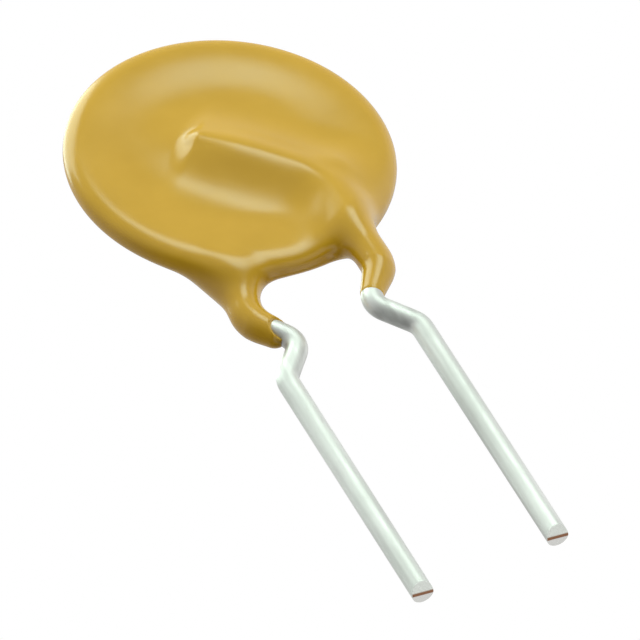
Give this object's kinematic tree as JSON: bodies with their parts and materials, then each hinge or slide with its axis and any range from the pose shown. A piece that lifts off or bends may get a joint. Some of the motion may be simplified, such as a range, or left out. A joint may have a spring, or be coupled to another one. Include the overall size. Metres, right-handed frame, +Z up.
{
  "type": "resettable fuse",
  "caption": "Radial-leaded polymer resettable fuse: a round disc dipped in ochre epoxy, with diagonal wire ridges on its faces and kinked tinned leads that solder into a circuit board.",
  "frame": {"origin": "on the board's top face, level with the lower ends of the kinks, midway between the axes of the two straight leads", "axes": "+X across the leads towards the front lead, -Y out of the front face of the disc, +Z up out of the board"},
  "size_m": [0.0118, 0.0026, 0.0276],
  "materials": {
    "epoxy_coating": "dipped and cured, glossy",
    "conductive_polymer": "matte, carbon filled",
    "electrode_foil": "satin nickel",
    "tinned_wire": "drawn, matte tin",
    "solder": "reflowed, satin"
  },
  "bodies": {
    "root": {"coating": "epoxy_coating", "ptc_chip": "conductive_polymer", "front_electrode": "electrode_foil", "back_electrode": "electrode_foil", "front_lead": "tinned_wire", "back_lead": "tinned_wire", "front_solder": "solder", "back_solder": "solder"}
  },
  "joints": []
}
